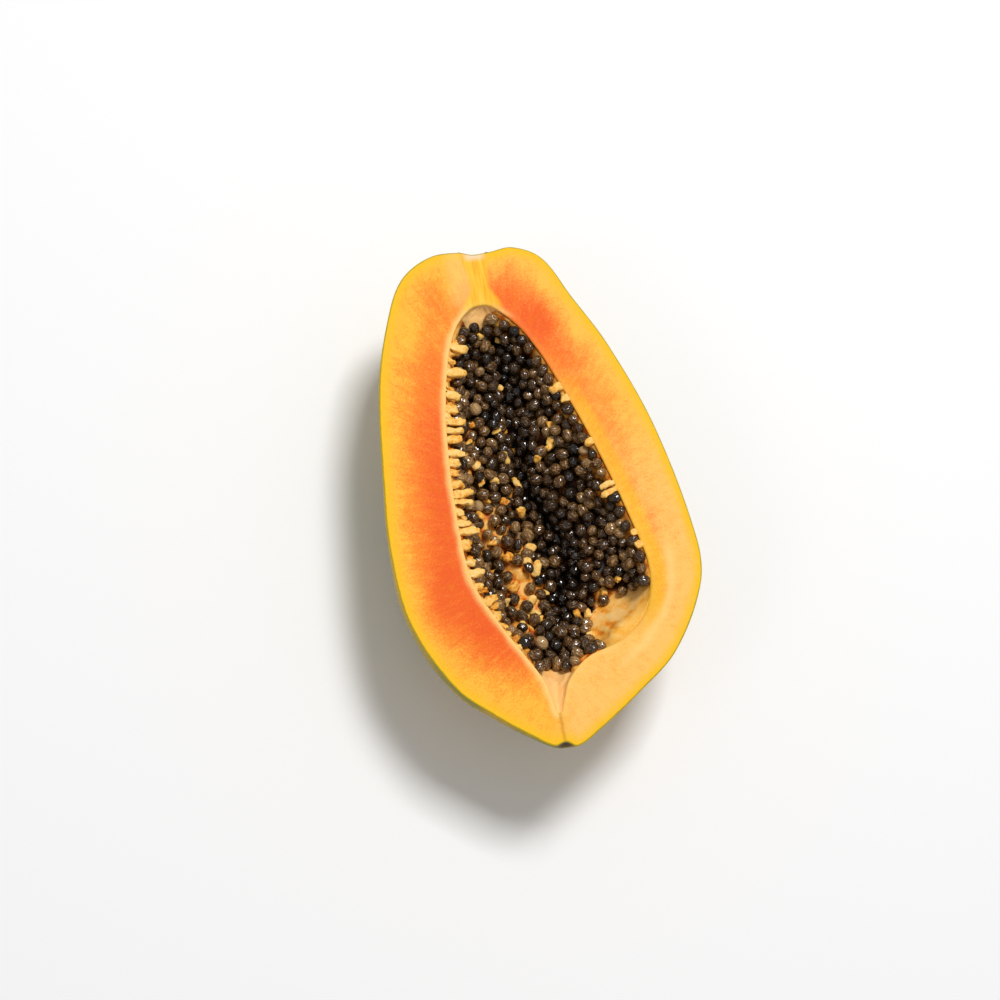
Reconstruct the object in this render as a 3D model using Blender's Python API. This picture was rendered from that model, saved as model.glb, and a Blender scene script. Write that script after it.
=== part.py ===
"""Half a papaya, cut lengthwise, lying on its rounded back with the cut face up and level.

The long axis runs along Y with the stem end at +Y. Z is up, and the fruit rests on Z = 0.
Outlines are in millimetres, as (distance from the fruit's axis, place along it), and run
from the stem end to the blossom end. The scene is in metres.
"""

import math
import random

import bmesh
import bpy
from mathutils import Euler, Matrix, Vector
from mathutils.geometry import interpolate_bezier

MM = 0.001

# Heights of the whole part
CUT_HEIGHT = 70.0
FLAT_SPOT_DEPTH = 0.9

# Skin of the fruit: the two edges of the cut face, and the keel under them
SKIN_RIGHT = [
    (0.0, 125.0), (8.0, 125.6), (20.3, 126.9), (34.0, 119.5), (45.1, 97.9), (58.8, 70.2), (73.9, 24.9),
    (83.4, -34.0), (80.7, -57.1), (61.9, -88.2), (39.1, -106.4), (18.1, -120.5), (6.0, -126.9), (0.0, -124.2),
]
SKIN_LEFT = [
    (0.0, 125.0), (7.5, 126.9), (21.8, 126.1), (36.9, 117.0), (46.3, 101.0), (57.8, 63.6), (64.4, 11.0),
    (66.6, -24.0), (61.5, -57.9), (45.3, -90.3), (29.5, -105.6), (12.7, -120.1), (5.0, -125.4), (0.0, -124.2),
]
SKIN_KEEL = [
    (0.0, 125.0), (8.0, 126.4), (21.0, 126.0), (35.5, 117.5), (46.5, 98.0), (59.5, 66.0), (68.4, 28.0),
    (70.9, -10.0), (67.0, -52.0), (52.5, -88.0), (34.0, -106.0), (15.5, -120.4), (5.5, -126.2), (0.0, -124.2),
]
RIB_COUNT = 5
RIB_RISE = 0.012

# Seed cavity: the edges that the knife left, and its floor
CAVITY_RIGHT = [
    (0.0, 97.8), (9.0, 92.5), (19.3, 79.3), (30.0, 55.0), (43.1, 16.5), (53.7, -24.6), (57.1, -45.5),
    (52.4, -65.1), (38.0, -78.2), (18.4, -85.4), (7.6, -95.0), (3.0, -105.0), (0.0, -110.0),
]
CAVITY_LEFT = [
    (0.0, 97.8), (7.0, 96.2), (16.9, 86.1), (24.5, 66.7), (30.6, 34.0), (33.0, -6.0), (31.0, -40.0),
    (23.1, -61.5), (11.5, -82.0), (4.5, -94.0), (2.0, -104.0), (0.0, -110.0),
]
CAVITY_FLOOR = [
    (0.0, 97.8), (8.0, 95.0), (18.0, 83.0), (27.0, 58.0), (34.0, 20.0), (38.0, -15.0), (37.0, -42.0),
    (31.0, -62.0), (18.0, -80.0), (8.0, -94.0), (3.0, -105.0), (0.0, -110.0),
]
CAVITY_RIDGE_RISE = 0.045
HEART_STEM_END = 80.0
HEART_BLOSSOM_END = -66.0
FULLEST = 0.95

# Bed of seeds that lines the cavity
BED_CLEARANCE = 0.5
BED_RIM_DROP = 5.2
BED_AT_RIM = 1.2
BED_AT_FLOOR = 11.0
BED_FADE = 9.0
THINNEST_SEEDED_BED = 1.0

# Places where the cavity wall is bare, seen from above: centre x, centre y, half width, half length
BARE_PATCHES = [(47.5, -74.0, 19.0, 20.0), (2.0, -103.0, 13.0, 17.0), (-6.0, 99.0, 13.0, 12.0)]

# One seed in its jelly coat
SEED_LENGTH = 6.6
SEED_WIDTH = 6.0
SEED_SIZE_SPREAD = 0.08
SEED_SPACING = 6.2
SEED_LIFT = (0.8, 2.4)
SEED_WALL_GAP = 0.35
SEED_TOP_MARGIN = 0.3
SEED_TRIES = 40000
SEED_RANDOM = 41

# Pale stalks that stand out of the cavity wall along the cut
STALKS_LEFT = 30
STALKS_RIGHT = 9
STALK_SPAN_LEFT = (82.0, -74.0)
STALK_SPAN_RIGHT = (44.0, -44.0)
STALK_LENGTH = (5.5, 9.0)
STALK_RADIUS = (0.9, 1.4)
STALK_TAPER = 0.75
STALK_ROOT = 2.5
STALK_UNEVENNESS = 0.28
STALK_SLANT = 0.35
STALK_TOP_MARGIN = 0.5
STALK_DIP_DEG = (0.0, 8.0)
STALK_TO_SEED = 0.6
STALK_RANDOM = 7

# Fineness of the solids
SKIN_SEGMENTS, SKIN_RINGS = 36, 34
CAVITY_SEGMENTS, CAVITY_RINGS = 28, 26
BED_SEGMENTS, BED_RINGS = 20, 16
END_CROWDING = 0.7
STALK_SIDES = 5
CURVE_STEPS = 24
SMOOTH_BELOW_DEG = 40.0

# The fruit's axis lies where the cut face is centred on X = 0
AXIS_X = (max(r for r, _ in SKIN_LEFT) - max(r for r, _ in SKIN_RIGHT)) / 2


class Outline:
    """A smooth outline through the given points, which meets the fruit's axis square at both ends."""

    def __init__(self, points):
        given = [Vector((r, y)) for r, y in points]
        mirrored = [Vector((-given[1].x, given[1].y)), *given, Vector((-given[-2].x, given[-2].y))]
        headings = [(after - before).normalized() for before, after in zip(mirrored, mirrored[2:])]
        self.points = [given[0]]
        for i in range(len(given) - 1):
            a, b = given[i], given[i + 1]
            reach = (b - a).length / 3
            curve = interpolate_bezier(
                a, a + headings[i] * reach, b - headings[i + 1] * reach, b, CURVE_STEPS + 1
            )
            self.points.extend(curve[1:])
        self.lengths = [0.0]
        for a, b in zip(self.points, self.points[1:]):
            self.lengths.append(self.lengths[-1] + (b - a).length)

    def at(self, share):
        """The (distance from the axis, place along it) at this share of the outline's length."""
        wanted = share * self.lengths[-1]
        low, high = 0, len(self.lengths) - 1
        while high - low > 1:
            middle = (low + high) // 2
            low, high = (middle, high) if self.lengths[middle] <= wanted else (low, middle)
        t = (wanted - self.lengths[low]) / (self.lengths[high] - self.lengths[low])
        return self.points[low].lerp(self.points[high], min(max(t, 0.0), 1.0))


class Loft:
    """A closed form whose sections are ovals hung between a right, a left and a lower outline.

    share runs from the stem end, 0, to the blossom end, 1. turn is the angle round the axis, 0 on the
    right, -90 degrees below and 180 on the left. The upper half mirrors the lower one.
    """

    def __init__(self, right, left, under, lobe):
        self.right, self.left, self.under = Outline(right), Outline(left), Outline(under)
        self.lobe = lobe

    def point(self, share, turn):
        right, left, under = self.right.at(share), self.left.at(share), self.under.at(share)
        across, down = math.cos(turn), math.sin(turn)
        swell = 1 + self.lobe(turn) * down * down
        middle, half_width = (right.x - left.x) / 2, (right.x + left.x) / 2
        side_y = right.y if across > 0 else left.y
        along = side_y * across * across + under.y * down * down
        return Vector((middle + half_width * across * swell, along, under.x * down * swell))

    def inside(self, share, turn, distance):
        """The wall's point moved this far towards the line along the middle of the cavity."""
        wall = self.point(share, turn)
        middle = (self.right.at(share).x - self.left.at(share).x) / 2
        heart = Vector((middle, min(max(wall.y, HEART_BLOSSOM_END), HEART_STEM_END), 0))
        return wall + (heart - wall).normalized() * min(distance, (heart - wall).length * FULLEST)


def rib(turn):
    """The faint ribs of the fruit's five carpels."""
    return RIB_RISE * math.cos(RIB_COUNT * (abs(turn) - math.pi / 2))


def cavity_ridge(turn):
    """The cavity is five-cornered: its floor is pulled out into corners between the seed rows."""
    return CAVITY_RIDGE_RISE * math.cos(RIB_COUNT * (abs(turn) - math.pi / 2))


SKIN = Loft(SKIN_RIGHT, SKIN_LEFT, SKIN_KEEL, rib)
CAVITY = Loft(CAVITY_RIGHT, CAVITY_LEFT, CAVITY_FLOOR, cavity_ridge)


def bed_thickness(point):
    """How thick the seeds lie on this point of the cavity wall. Below zero, the wall is bare."""
    depth = min(abs(point.z) / max(r for r, _ in CAVITY_FLOOR), 1.0)
    thickness = BED_AT_RIM + (BED_AT_FLOOR - BED_AT_RIM) * depth
    for x, y, half_width, half_length in BARE_PATCHES:
        away = ((point.x - x) / half_width) ** 2 + ((point.y - y) / half_length) ** 2
        thickness = min(thickness, (away - 1) * BED_FADE)
    return max(thickness, -BED_FADE / 2)


def placed(point):
    """A point given from the fruit's axis in the cut plane, in millimetres, as a place in the scene."""
    return Vector((point.x + AXIS_X, point.y, point.z + CUT_HEIGHT)) * MM


def lofted_mesh(name, segments, rings, shape):
    """A UV sphere with each vertex moved to shape(share, turn). Its rings crowd towards both ends."""
    bm = bmesh.new()
    bmesh.ops.create_uvsphere(bm, u_segments=segments, v_segments=rings, radius=1.0)
    for vertex in bm.verts:
        ring = math.acos(min(max(vertex.co.z, -1.0), 1.0)) / math.pi
        share = ring - END_CROWDING * math.sin(math.tau * ring) / math.tau
        turn = math.atan2(vertex.co.y, vertex.co.x)
        vertex.co = placed(shape(share, turn))
    bmesh.ops.recalc_face_normals(bm, faces=bm.faces)
    mesh = bpy.data.meshes.new(name)
    bm.to_mesh(mesh)
    bm.free()
    return mesh


def cut_flat(mesh, height, keep_below):
    """Cuts the mesh level at this height in millimetres and closes the cut with a flat face."""
    bm = bmesh.new()
    bm.from_mesh(mesh)
    geometry = [*bm.verts, *bm.edges, *bm.faces]
    bmesh.ops.bisect_plane(
        bm,
        geom=geometry,
        dist=0.01 * MM,
        plane_co=(0, 0, height * MM),
        plane_no=(0, 0, 1),
        clear_outer=keep_below,
        clear_inner=not keep_below,
    )
    open_edges = [edge for edge in bm.edges if edge.is_boundary]
    bmesh.ops.contextual_create(bm, geom=open_edges)
    bmesh.ops.recalc_face_normals(bm, faces=bm.faces)
    bm.to_mesh(mesh)
    bm.free()


def material(name, colour, roughness):
    made = bpy.data.materials.new(name)
    made.use_nodes = True
    shader = made.node_tree.nodes["Principled BSDF"]
    shader.inputs["Base Color"].default_value = (*colour, 1.0)
    shader.inputs["Roughness"].default_value = roughness
    shader.inputs["Metallic"].default_value = 0.0
    return made


def collection(name, hidden=False):
    made = bpy.data.collections.new(name)
    bpy.context.scene.collection.children.link(made)
    made.hide_render = hidden
    return made


def add_object(name, mesh, into, is_helper=False):
    made = bpy.data.objects.new(name, mesh)
    into.objects.link(made)
    if is_helper:
        made.hide_render = True
        made.display_type = "WIRE"
    return made


def boolean(target, operation, other=None, group=None, solver="EXACT"):
    """Cuts, joins or trims the target with one object or a whole collection, and applies the result."""
    modifier = target.modifiers.new(operation.lower(), "BOOLEAN")
    modifier.operation = operation
    modifier.solver = solver
    if group is None:
        modifier.object = other
    else:
        modifier.operand_type = "COLLECTION"
        modifier.collection = group
    bpy.context.view_layer.update()
    graph = bpy.context.evaluated_depsgraph_get()
    result = bpy.data.meshes.new_from_object(target.evaluated_get(graph))
    target.modifiers.remove(modifier)
    target.data = result


def keep_largest_shell(mesh):
    """Fills the pockets sealed in between the seeds, and drops what the trim left loose."""
    bm = bmesh.new()
    bm.from_mesh(mesh)
    bmesh.ops.triangulate(bm, faces=bm.faces)
    left = set(bm.faces)
    shells = []
    while left:
        shell = set()
        queue = [left.pop()]
        while queue:
            face = queue.pop()
            shell.add(face)
            for edge in face.edges:
                beside = left.intersection(edge.link_faces if len(edge.link_faces) == 2 else ())
                left -= beside
                queue.extend(beside)
        shells.append(shell)
    shells.sort(key=len)
    dropped = [face for shell in shells[:-1] for face in shell]
    bmesh.ops.delete(bm, geom=dropped, context="FACES")
    bm.to_mesh(mesh)
    bm.free()


def finish(obj, name, colour, roughness):
    """Shades the round faces smooth and gives the piece its one material."""
    obj.data.shade_smooth()
    obj.data.set_sharp_from_angle(angle=math.radians(SMOOTH_BELOW_DEG))
    obj.data.materials.clear()
    obj.data.materials.append(material(name, colour, roughness))


def remove_all(group):
    for obj in list(group.objects):
        bpy.data.objects.remove(obj)
    bpy.data.collections.remove(group)


def stalk_places():
    """Root and tip of each stalk, from the fruit's axis in the cut plane, with its root radius."""
    draw = random.Random(STALK_RANDOM)
    found = []
    for outline, turn, count, span in (
        (CAVITY.left, math.pi, STALKS_LEFT, STALK_SPAN_LEFT),
        (CAVITY.right, 0.0, STALKS_RIGHT, STALK_SPAN_RIGHT),
    ):
        step = (span[1] - span[0]) / (count - 1)
        for number in range(count):
            wanted = span[0] + step * (number + draw.uniform(-STALK_UNEVENNESS, STALK_UNEVENNESS))
            edge = min((p for p in outline.points), key=lambda p: abs(p.y - wanted))
            radius = draw.uniform(*STALK_RADIUS)
            length = draw.uniform(*STALK_LENGTH)
            dip = math.radians(draw.uniform(*STALK_DIP_DEG))
            sideways = draw.uniform(-STALK_SLANT, STALK_SLANT)
            inward = -math.cos(turn)
            heading = Vector((inward, sideways, -math.tan(dip))).normalized()
            rim = Vector((edge.x * math.cos(turn), edge.y, -radius - STALK_TOP_MARGIN))
            root = rim - Vector((inward, sideways, 0)).normalized() * STALK_ROOT
            found.append((root, root + heading * (STALK_ROOT + length), radius))
    return found


def distance_to_stalk(point, stalk):
    root, tip, radius = stalk
    line = tip - root
    share = min(max((point - root).dot(line) / line.length_squared, 0.0), 1.0)
    return (point - root - line * share).length - radius


def seed_places(stalks):
    """Centre, size and turn of each seed: random places on the bed, no two closer than the spacing."""
    draw = random.Random(SEED_RANDOM)
    half_width = SEED_WIDTH / 2
    taken = {}
    found = []
    for _ in range(SEED_TRIES):
        share = draw.random()
        turn = -draw.uniform(0.0, math.pi)
        lift = draw.uniform(*SEED_LIFT)
        wall = CAVITY.point(share, turn)
        thickness = bed_thickness(wall)
        if thickness < THINNEST_SEEDED_BED:
            continue
        centre = CAVITY.inside(share, turn, max(thickness + lift, half_width + BED_CLEARANCE))
        if centre.z > -half_width - SEED_TOP_MARGIN:
            continue
        cell = tuple(math.floor(v / SEED_SPACING) for v in centre)
        near = [
            other
            for dx in (-1, 0, 1)
            for dy in (-1, 0, 1)
            for dz in (-1, 0, 1)
            for other in taken.get((cell[0] + dx, cell[1] + dy, cell[2] + dz), ())
        ]
        if any((centre - other).length < SEED_SPACING for other in near):
            continue
        if any(distance_to_stalk(centre, stalk) < SEED_LENGTH / 2 + STALK_TO_SEED for stalk in stalks):
            continue
        taken.setdefault(cell, []).append(centre)
        size = 1 + draw.uniform(-SEED_SIZE_SPREAD, SEED_SIZE_SPREAD)
        turned = Euler([draw.uniform(0, math.tau) for _ in range(3)])
        found.append((centre, size, turned))
    return found


def build_fruit_half(parts, helpers, stalks):
    """Skin, flesh, cavity wall and stalks, which grew as one piece."""
    whole = lofted_mesh("fruit_half", SKIN_SEGMENTS, SKIN_RINGS, SKIN.point)
    fruit = add_object("fruit_half", whole, parts)
    keel = min(vertex.co.z for vertex in fruit.data.vertices) / MM
    fruit.data.transform(Matrix.Translation((0, 0, (-FLAT_SPOT_DEPTH - keel) * MM)))
    cut_flat(fruit.data, CUT_HEIGHT, keep_below=True)
    cut_flat(fruit.data, 0.0, keep_below=False)

    hollow = lofted_mesh("cavity_cutter", CAVITY_SEGMENTS, CAVITY_RINGS, CAVITY.point)
    cavity = add_object("cavity_cutter", hollow, helpers, is_helper=True)
    boolean(fruit, "DIFFERENCE", cavity)

    group = collection("stalks")
    for root, tip, radius in stalks:
        line = tip - root
        bm = bmesh.new()
        bmesh.ops.create_cone(
            bm,
            cap_ends=True,
            segments=STALK_SIDES,
            radius1=radius * MM,
            radius2=radius * STALK_TAPER * MM,
            depth=line.length * MM,
        )
        mesh = bpy.data.meshes.new("stalk")
        bm.to_mesh(mesh)
        bm.free()
        turned = line.to_track_quat("Z", "Y").to_matrix().to_4x4()
        mesh.transform(Matrix.Translation(placed((root + tip) / 2)) @ turned)
        add_object("stalk", mesh, group)
    boolean(fruit, "UNION", group=group, solver="MANIFOLD")
    remove_all(group)
    finish(fruit, "papaya_flesh", (0.95, 0.42, 0.10), 0.45)


def build_seed_mass(parts, helpers, stalks):
    """The seeds, sunk in the bed of seeds beneath them, trimmed to stay clear of the cavity wall."""

    def bed_outside(share, turn):
        return CAVITY.inside(share, turn, BED_CLEARANCE)

    def bed_inside(share, turn):
        return CAVITY.inside(share, turn, bed_thickness(CAVITY.point(share, turn)))

    def room_for_seeds(share, turn):
        return CAVITY.inside(share, turn, SEED_WALL_GAP)

    bed = lofted_mesh("seed_mass", BED_SEGMENTS, BED_RINGS, bed_outside)
    seeds = add_object("seed_mass", bed, parts)
    cut_flat(seeds.data, CUT_HEIGHT - BED_RIM_DROP, keep_below=True)
    hollow = lofted_mesh("trough_cutter", BED_SEGMENTS, BED_RINGS, bed_inside)
    trough = add_object("trough_cutter", hollow, helpers, is_helper=True)
    boolean(seeds, "DIFFERENCE", trough)

    group = collection("seeds")
    for centre, size, turned in seed_places(stalks):
        bm = bmesh.new()
        bmesh.ops.create_icosphere(bm, subdivisions=1, radius=size * MM / 2)
        mesh = bpy.data.meshes.new("seed")
        bm.to_mesh(mesh)
        bm.free()
        stretched = Matrix.Diagonal((SEED_LENGTH, SEED_WIDTH, SEED_WIDTH, 1.0))
        mesh.transform(Matrix.Translation(placed(centre)) @ turned.to_matrix().to_4x4() @ stretched)
        add_object("seed", mesh, group)
    boolean(seeds, "UNION", group=group, solver="MANIFOLD")
    remove_all(group)
    limits = lofted_mesh("room_cutter", CAVITY_SEGMENTS, CAVITY_RINGS, room_for_seeds)
    room = add_object("room_cutter", limits, helpers, is_helper=True)
    boolean(seeds, "INTERSECT", room, solver="MANIFOLD")
    keep_largest_shell(seeds.data)
    finish(seeds, "papaya_seed", (0.035, 0.024, 0.018), 0.25)


for old in list(bpy.data.objects):
    bpy.data.objects.remove(old)

papaya = collection("papaya_half")
cutters = collection("cutters", hidden=True)
all_stalks = stalk_places()
build_fruit_half(papaya, cutters, all_stalks)
build_seed_mass(papaya, cutters, all_stalks)
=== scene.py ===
"""Half a ripe papaya, cut lengthwise and lying on its back on a pale table, seen from above its cut face.

Positions are in millimetres from the fruit's axis in the cut plane, as in the solid: X to the right,
Y towards the stem end, Z up. placed() turns them into metres in the shared frame.
"""

import math
import random
from itertools import product

import bmesh
import bpy
import numpy as np
from mathutils import Matrix, Vector, noise
from mathutils.geometry import interpolate_bezier
from mathutils.kdtree import KDTree


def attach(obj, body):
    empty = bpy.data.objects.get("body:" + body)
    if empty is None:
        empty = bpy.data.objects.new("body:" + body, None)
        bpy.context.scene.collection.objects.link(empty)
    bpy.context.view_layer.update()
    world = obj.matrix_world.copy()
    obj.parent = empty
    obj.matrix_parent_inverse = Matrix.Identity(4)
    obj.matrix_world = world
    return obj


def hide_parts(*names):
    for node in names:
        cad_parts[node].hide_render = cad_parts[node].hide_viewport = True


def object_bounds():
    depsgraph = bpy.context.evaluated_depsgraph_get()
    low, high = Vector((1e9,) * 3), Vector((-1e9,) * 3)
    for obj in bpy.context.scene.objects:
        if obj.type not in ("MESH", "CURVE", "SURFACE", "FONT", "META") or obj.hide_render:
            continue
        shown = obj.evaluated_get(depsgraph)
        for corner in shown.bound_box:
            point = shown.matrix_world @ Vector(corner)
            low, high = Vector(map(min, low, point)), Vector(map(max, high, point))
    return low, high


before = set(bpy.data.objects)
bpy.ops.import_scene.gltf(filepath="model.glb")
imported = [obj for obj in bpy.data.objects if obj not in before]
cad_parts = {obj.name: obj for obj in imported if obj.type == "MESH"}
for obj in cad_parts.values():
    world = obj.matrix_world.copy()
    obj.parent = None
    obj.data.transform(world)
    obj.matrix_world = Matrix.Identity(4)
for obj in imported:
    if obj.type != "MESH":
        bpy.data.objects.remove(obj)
cad_low, cad_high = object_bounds()

# ---------------------------------------------------------------- table, light and camera
# A white table top under soft daylight. The light comes from the picture's upper right and leaves a
# grey shadow to the lower left.
MM = 0.001
TABLE_SIDE = 6.0
TABLE_WHITE = "F6F6F6"
SKY_STRENGTH = 0.36
KEY_WATTS = 51.0
KEY_FROM = Vector((0.24, 0.38, 1.0))
FILL_WATTS = 3.5
FILL_FROM = Vector((-0.8, -0.35, 0.75))
LAMP_SIDE = 0.7
LAMP_DISTANCE = 2.6

CAMERA_LENS = 85.0
CAMERA_DISTANCE = 1.1385
CAMERA_FROM = Vector((-0.2058, -0.2731, 0.9397))
CAMERA_ROLL_DEG = -10.53
CAMERA_AIM = Vector((-0.0180, -0.0030, cad_high.z))


def linear(hex_colour):
    """An sRGB hex value as the linear RGBA that Blender's sockets take."""
    channels = [int(hex_colour[i : i + 2], 16) / 255 for i in (0, 2, 4)]
    return (*(c / 12.92 if c <= 0.04045 else ((c + 0.055) / 1.055) ** 2.4 for c in channels), 1.0)


def feed(tree, node, inputs):
    """Sets or links a node's inputs. A value is a number, a hex colour, a node or one of its outputs."""
    for key, value in inputs.items():
        if isinstance(value, bpy.types.Node):
            value = next(output for output in value.outputs if output.enabled)
        if isinstance(value, bpy.types.NodeSocket):
            tree.links.new(value, node.inputs[key])
        elif isinstance(value, str) and node.inputs[key].type == "RGBA":
            node.inputs[key].default_value = linear(value)
        else:
            node.inputs[key].default_value = value


def add(tree, kind, inputs=None, stops=None, **settings):
    """Adds a node with its settings, its inputs and, for a colour ramp, its stops. A kind that doesn't start
    with Geometry or Node is a shader node's, without the word in front.
    """
    node = tree.nodes.new(kind if kind.startswith(("Geometry", "Node")) else "ShaderNode" + kind)
    for name, value in settings.items():
        setattr(node, name, value)
    for _ in range(len(stops or ()) - 2):
        node.color_ramp.elements.new(0.5)
    for stop, (place, colour) in zip(node.color_ramp.elements if stops else (), stops or ()):
        stop.position, stop.color = place, linear(colour)
    feed(tree, node, inputs or {})
    return node


def new_material(name):
    """A new material, its node tree and its Principled BSDF."""
    made = bpy.data.materials.new(name)
    made.use_nodes = True
    return made, made.node_tree, made.node_tree.nodes["Principled BSDF"]


def new_object(name, mesh):
    made = bpy.data.objects.new(name, mesh)
    bpy.context.scene.collection.objects.link(made)
    return made


table_mesh = bpy.data.meshes.new("table_top")
reach = TABLE_SIDE / 2
corners = [(-reach, -reach, 0), (reach, -reach, 0), (reach, reach, 0), (-reach, reach, 0)]
table_mesh.from_pydata(corners, [], [(0, 1, 2, 3)])
table_top = new_object("table_top", table_mesh)
# White laminate, matt and even, with no grain.
laminate, tree, shader = new_material("white_laminate")
feed(tree, shader, {"Base Color": TABLE_WHITE, "Roughness": 0.7})
table_mesh.materials.append(laminate)

world = bpy.data.worlds.new("soft_daylight")
world.use_nodes = True
sky = world.node_tree.nodes["Background"]
feed(world.node_tree, sky, {"Color": "FFFFFF", "Strength": SKY_STRENGTH})
bpy.context.scene.world = world
for name, came_from, watts in (("key_light", KEY_FROM, KEY_WATTS), ("fill_light", FILL_FROM, FILL_WATTS)):
    lamp = bpy.data.lights.new(name, "AREA")
    lamp.energy, lamp.size = watts, LAMP_SIDE
    lit = new_object(name, lamp)
    turned = (-came_from).to_track_quat("-Z", "Y").to_matrix().to_4x4()
    lit.matrix_world = Matrix.Translation(CAMERA_AIM + came_from.normalized() * LAMP_DISTANCE) @ turned
bpy.context.scene.view_settings.view_transform = "Standard"

ahead = -CAMERA_FROM.normalized()
level = ahead.cross(Vector((0, 1, 0))).normalized()
rise = level.cross(ahead)
roll = math.radians(CAMERA_ROLL_DEG)
picture_right = math.cos(roll) * level + math.sin(roll) * rise
picture_up = math.cos(roll) * rise - math.sin(roll) * level
camera_data = bpy.data.cameras.new("camera")
camera_data.lens = CAMERA_LENS
camera = new_object("camera", camera_data)
camera_axes = Matrix((picture_right, picture_up, -ahead)).transposed().to_4x4()
camera.matrix_world = Matrix.Translation(CAMERA_AIM - ahead * CAMERA_DISTANCE) @ camera_axes
bpy.context.scene.camera = camera

# ---------------------------------------------------------------- fruit: skin, flesh and hollow
# A ripe papaya half: soft orange flesh 15 to 30 mm thick inside a thin waxy skin, cut with a knife from
# the stem scar to the blossom end. Five seed ridges line the pale hollow. It grew as one piece.
CUT_HEIGHT = cad_high.z / MM
FLAT_SPOT_DEPTH = 0.9
SKIN_RIGHT = [
    (0.0, 125.0), (8.0, 125.6), (20.3, 126.9), (34.0, 119.5), (45.1, 97.9), (58.8, 70.2), (73.9, 24.9),
    (83.4, -34.0), (80.7, -57.1), (61.9, -88.2), (39.1, -106.4), (18.1, -120.5), (6.0, -126.9), (0.0, -124.2),
]
SKIN_LEFT = [
    (0.0, 125.0), (7.5, 126.9), (21.8, 126.1), (36.9, 117.0), (46.3, 101.0), (57.8, 63.6), (64.4, 11.0),
    (66.6, -24.0), (62.9, -58.4), (47.0, -91.5), (30.8, -107.0), (13.0, -120.6), (5.0, -125.4), (0.0, -124.2),
]
SKIN_KEEL = [
    (0.0, 125.0), (8.0, 126.4), (21.0, 126.0), (35.5, 117.5), (46.5, 98.0), (59.5, 66.0), (68.4, 28.0),
    (70.9, -10.0), (67.0, -52.0), (52.5, -88.0), (34.0, -106.0), (15.5, -120.4), (5.5, -126.2), (0.0, -124.2),
]
HOLLOW_RIGHT = [
    (0.0, 97.8), (9.0, 92.5), (19.3, 79.3), (30.0, 55.0), (43.1, 16.5), (53.7, -24.6), (57.1, -45.5),
    (52.4, -65.1), (38.0, -78.2), (18.4, -85.4), (7.6, -95.0), (3.0, -105.0), (0.0, -110.0),
]
HOLLOW_LEFT = [
    (0.0, 97.8), (7.0, 96.2), (16.2, 86.1), (23.4, 66.7), (29.3, 34.0), (31.6, -6.0), (30.1, -40.0),
    (21.4, -61.5), (10.4, -82.0), (4.2, -94.0), (2.0, -104.0), (0.0, -110.0),
]
HOLLOW_FLOOR = [
    (0.0, 97.8), (8.0, 95.0), (18.0, 83.0), (27.0, 58.0), (34.0, 20.0), (38.0, -15.0), (37.0, -42.0),
    (31.0, -62.0), (18.0, -80.0), (8.0, -94.0), (3.0, -105.0), (0.0, -110.0),
]
RIBS = 5
RIB_RISE = 0.012
SEED_RIDGE_RISE = 0.045
HEART_STEM_END, HEART_BLOSSOM_END = 80.0, -66.0
AXIS_X = (max(r for r, _ in SKIN_LEFT) - max(r for r, _ in SKIN_RIGHT)) / 2

ALONG, AROUND_SKIN, AROUND_HOLLOW = 220, 72, 110
END_CROWDING = 0.45
RIM_STEPS = [0.0, 0.3, 0.7, 1.2, 1.9, 2.8]
EDGE_STEPS = [2.6, 1.6, 0.9, 0.4, 0.0]
FLESH_COLUMNS = 22
WELD_GAP = 0.02
# The rounded edges of the cut: depth, and their reach over the face and down
RIM_ROUNDING, RIM_ROUNDING_OVER, RIM_ROUNDING_DOWN = 0.6, 0.35, 0.7
EDGE_ROUNDING, EDGE_ROUNDING_OVER, EDGE_ROUNDING_DOWN = 0.35, 0.3, 0.6
# Where the wall of the hollow is bare of seeds: x, y, half width, half length
BARE_PATCHES = [(48.5, -74.5, 20.0, 22.0), (2.0, -104.0, 13.0, 17.5), (-6.0, 101.5, 13.0, 9.5)]
# At the lower right the rim sags: x, y, half width, half length, depth, and its reach over the face and down
SLUMP, SLUMP_OVER, SLUMP_DOWN = (47.0, -72.0, 20.0, 22.0, 3.0), 4.0, 3.0
# Where the bare wall bulges: x, y, half width, half length, rise
BULGES = [(45.0, -72.0, 14.0, 15.0, 7.0), (-3.0, 94.0, 9.0, 8.0, 4.0)]
KNIFE_WAVE, KNIFE_WAVE_LENGTH, KNIFE_WAVE_MARGIN = 0.22, 38.0, 2.0
GROOVE_DEPTH, GROOVE_WIDTH, GROOVE_EDGE_MARGIN = 0.6, 0.7, 0.8
SKIN_LUMP, SKIN_LUMP_SIZE = 0.45, 26.0
SCAR_RADIUS, SCAR_WIDTH, SCAR_RISE, SCAR_LUMP = 7.0, 1.3, 0.7, 2.5
PULP_RELIEF, PULP_FIBRE_WIDTH, PULP_FIBRE_LENGTH = 0.6, 3.4, 9.0
PULP_KNOTS, PULP_KNOT_SIZE = 0.6, 4.5
RIM_LENGTH, HOLLOW_HALF_GIRTH = 215.0, 85.0
# A fade is where it starts and where it is full: along the fruit for the groove, else below the cut
GROOVE_FADE, SKIN_LUMP_FADE, SCAR_FADE = (-107.0, -111.0), (0.0, -8.0), (0.0, -1.5)
PULP_FADE, BULGE_FADE = (0.0, -4.0), (0.0, -10.0)

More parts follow.
